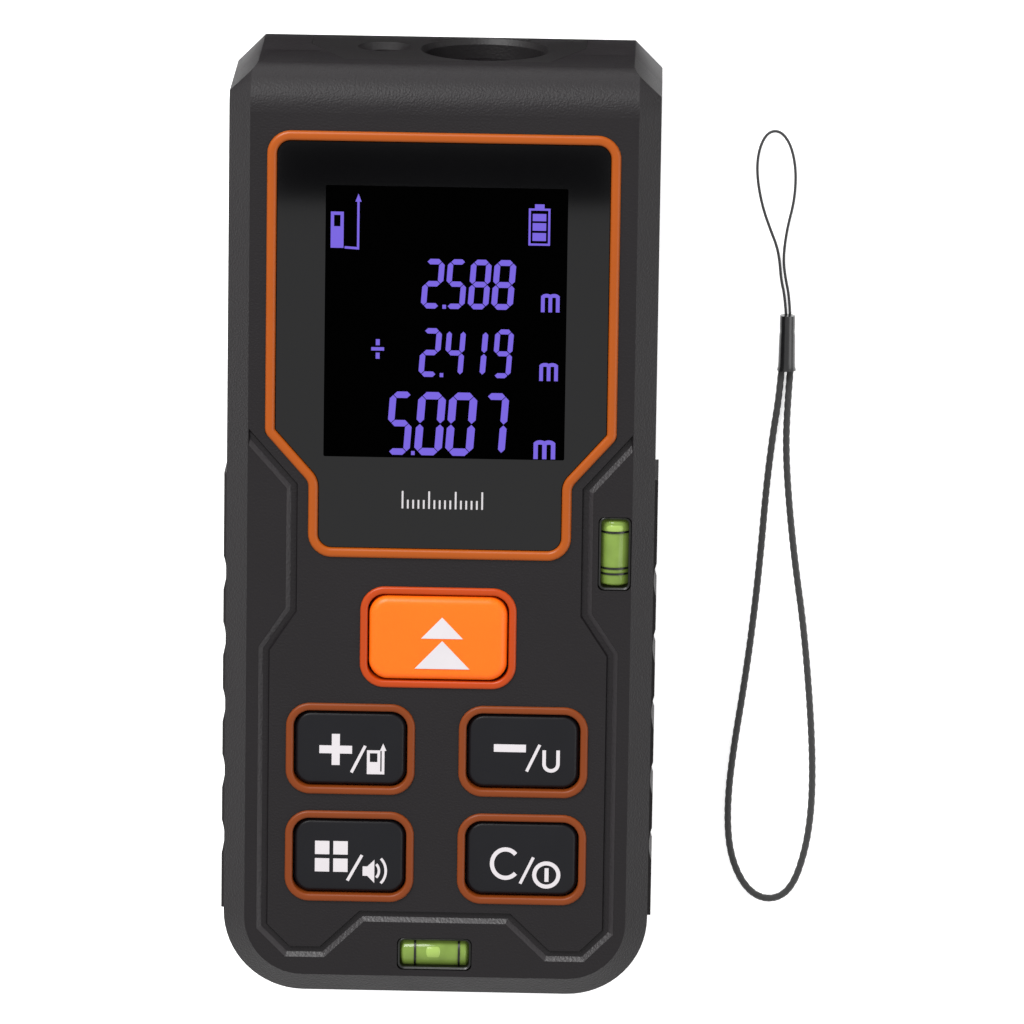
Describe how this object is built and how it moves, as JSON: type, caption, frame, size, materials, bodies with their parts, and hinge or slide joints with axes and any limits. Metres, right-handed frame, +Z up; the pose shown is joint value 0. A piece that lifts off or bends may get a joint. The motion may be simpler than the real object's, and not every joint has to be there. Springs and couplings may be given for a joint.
{
  "type": "laser distance meter",
  "caption": "Handheld laser distance meter with lit screen, keypad, spirit vials, side grips, battery door, end optics and a loose hand strap.",
  "frame": {"origin": "middle of the meter's back face, on the surface it lies on, the hand strap left out", "axes": "+X to the right of the key face, +Y along the meter towards the laser end, +Z up out of the key face"},
  "size_m": [0.0742, 0.117, 0.028],
  "materials": {
    "cell_wrap": "printed sleeve",
    "door_abs": "fine spark texture",
    "pad_foam": "foam",
    "buzzer_case": "moulded",
    "clear_silicone": "soft moulded, satin",
    "clear_ring_orange": "satin",
    "collimator_glass": "polished",
    "foot_air": "air bubble",
    "foot_vial_acrylic": "polished",
    "foot_fluid": "dyed spirit",
    "housing_abs": "fine spark texture",
    "screw_steel": "zinc plated",
    "gasket_silicone": "matt",
    "module_brass": "turned",
    "laser_glass": "coated",
    "backlight_acrylic": "frosted",
    "carrier_nylon": "moulded",
    "lcd_dark": "glossy",
    "grip_tpe": "matt soft touch",
    "sensor_can": "plated",
    "board_fr4": "solder mask",
    "measure_silicone": "soft moulded, satin",
    "measure_ring_orange": "satin",
    "menu_silicone": "soft moulded, satin",
    "menu_ring_orange": "satin",
    "minus_silicone": "soft moulded, satin",
    "minus_ring_orange": "satin",
    "chassis_zinc": "die cast",
    "optics_black": "moulded",
    "contact_steel": "nickel plated",
    "plus_silicone": "soft moulded, satin",
    "plus_ring_orange": "satin",
    "chip_epoxy": "moulded epoxy",
    "housing_abs_rear": "fine spark texture",
    "label_film": "printed film",
    "receiver_fr4": "solder mask",
    "receiver_acrylic": "polished",
    "grip_tpe_right": "matt soft touch",
    "trim_orange": "satin",
    "window_glass": "polished",
    "side_air": "air bubble",
    "side_vial_acrylic": "polished",
    "side_fluid": "dyed spirit",
    "spring_steel": "nickel plated",
    "cord_nylon": "braided",
    "pin_steel": "plated",
    "sleeve_vinyl": "glossy",
    "string_nylon": "twisted",
    "switch_steel": "plated"
  },
  "bodies": {
    "housing": {"batteries": "cell_wrap", "buzzer": "buzzer_case", "clear_key_ring": "clear_ring_orange", "collimator_lens": "collimator_glass", "foot_vial": "foot_vial_acrylic", "foot_vial_fluid": "foot_fluid", "front_cover": "housing_abs", "housing_screws": "screw_steel", "keypad_gasket": "gasket_silicone", "laser_module": "module_brass", "laser_window": "laser_glass", "lcd_backlight": "backlight_acrylic", "lcd_carrier": "carrier_nylon", "lcd_panel": "lcd_dark", "left_grip": "grip_tpe", "light_sensor": "sensor_can", "main_board": "board_fr4", "measure_key_ring": "measure_ring_orange", "menu_key_ring": "menu_ring_orange", "minus_key_ring": "minus_ring_orange", "optics_chassis": "chassis_zinc", "optics_panel": "optics_black", "plate_contacts": "contact_steel", "plus_key_ring": "plus_ring_orange", "processor_chip": "chip_epoxy", "rear_cover": "housing_abs_rear", "rear_label": "label_film", "receiver_board": "receiver_fr4", "receiver_lens": "receiver_acrylic", "right_grip": "grip_tpe_right", "screen_trim": "trim_orange", "screen_window": "window_glass", "side_vial": "side_vial_acrylic", "side_vial_fluid": "side_fluid", "spring_contacts": "spring_steel", "strap_cord": "cord_nylon", "strap_pin": "pin_steel", "strap_sleeve": "sleeve_vinyl", "strap_string": "string_nylon", "tactile_switches": "switch_steel"},
    "measure_button": {"measure_key": "measure_silicone"},
    "plus_button": {"plus_key": "plus_silicone"},
    "minus_button": {"minus_key": "minus_silicone"},
    "menu_button": {"menu_key": "menu_silicone"},
    "clear_button": {"clear_key": "clear_silicone"},
    "side_bubble_body": {"side_bubble": "side_air"},
    "foot_bubble_body": {"foot_bubble": "foot_air"},
    "door": {"battery_door": "door_abs", "battery_pad": "pad_foam"}
  },
  "joints": [
    {"name": "measure_press", "type": "slide", "parent": "housing", "child": "measure_button", "axis": [0, 0, -1], "range_m": [0, 0.0005], "stiffness_N_per_m": 1500},
    {"name": "plus_press", "type": "slide", "parent": "housing", "child": "plus_button", "axis": [0, 0, -1], "range_m": [0, 0.0005], "stiffness_N_per_m": 1500},
    {"name": "minus_press", "type": "slide", "parent": "housing", "child": "minus_button", "axis": [0, 0, -1], "range_m": [0, 0.0005], "stiffness_N_per_m": 1500},
    {"name": "menu_press", "type": "slide", "parent": "housing", "child": "menu_button", "axis": [0, 0, -1], "range_m": [0, 0.0005], "stiffness_N_per_m": 1500},
    {"name": "clear_press", "type": "slide", "parent": "housing", "child": "clear_button", "axis": [0, 0, -1], "range_m": [0, 0.0005], "stiffness_N_per_m": 1500},
    {"name": "side_bubble_slide", "type": "slide", "parent": "housing", "child": "side_bubble_body", "axis": [0, -1, 0], "range_m": [0, 0.005]},
    {"name": "foot_bubble_slide", "type": "slide", "parent": "housing", "child": "foot_bubble_body", "axis": [1, 0, 0], "range_m": [-0.0022, 0.0028]},
    {"name": "door_swing", "type": "hinge", "parent": "housing", "child": "door", "pos_m": [0, -0.0531, 0.00075], "axis": [-1, 0, 0], "range_deg": [0, 80]}
  ]
}
